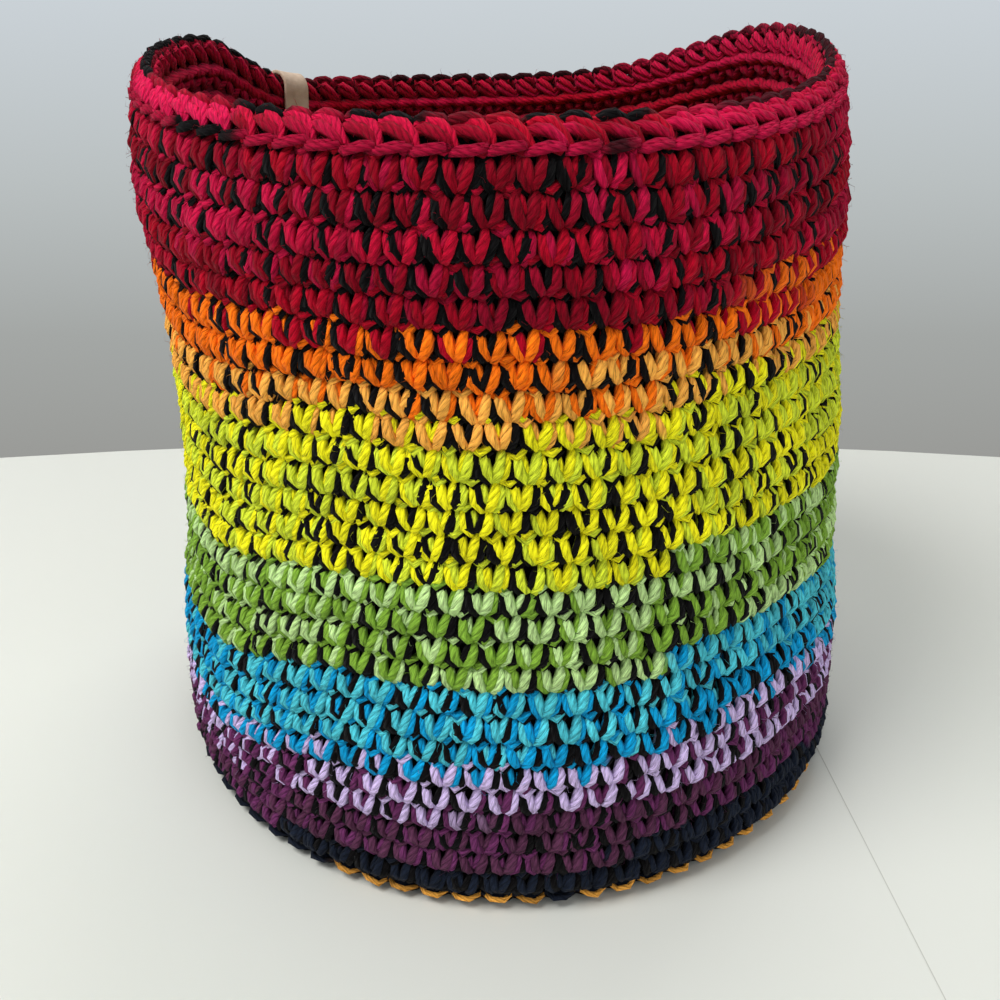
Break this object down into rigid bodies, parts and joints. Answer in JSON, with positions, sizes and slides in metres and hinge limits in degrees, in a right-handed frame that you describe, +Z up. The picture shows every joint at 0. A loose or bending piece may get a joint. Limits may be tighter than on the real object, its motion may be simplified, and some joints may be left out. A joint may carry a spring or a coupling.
{
  "type": "crochet bag",
  "caption": "Round open crochet bag with a flat base, thick wall worked in rounds of single crochet, a wavy rim and a folded leather label.",
  "frame": {"origin": "centre of the flat base, on the surface that the bag stands on", "axes": "+Z up, -Y towards the front, where the rim is level; the rim dips at +Y and rises towards +X and -X"},
  "size_m": [0.2892, 0.2892, 0.2757],
  "materials": {
    "yarn": "matte, fuzzy",
    "leather": "matte"
  },
  "bodies": {
    "root": {"crochet_bag": "yarn", "label": "leather"}
  },
  "joints": []
}
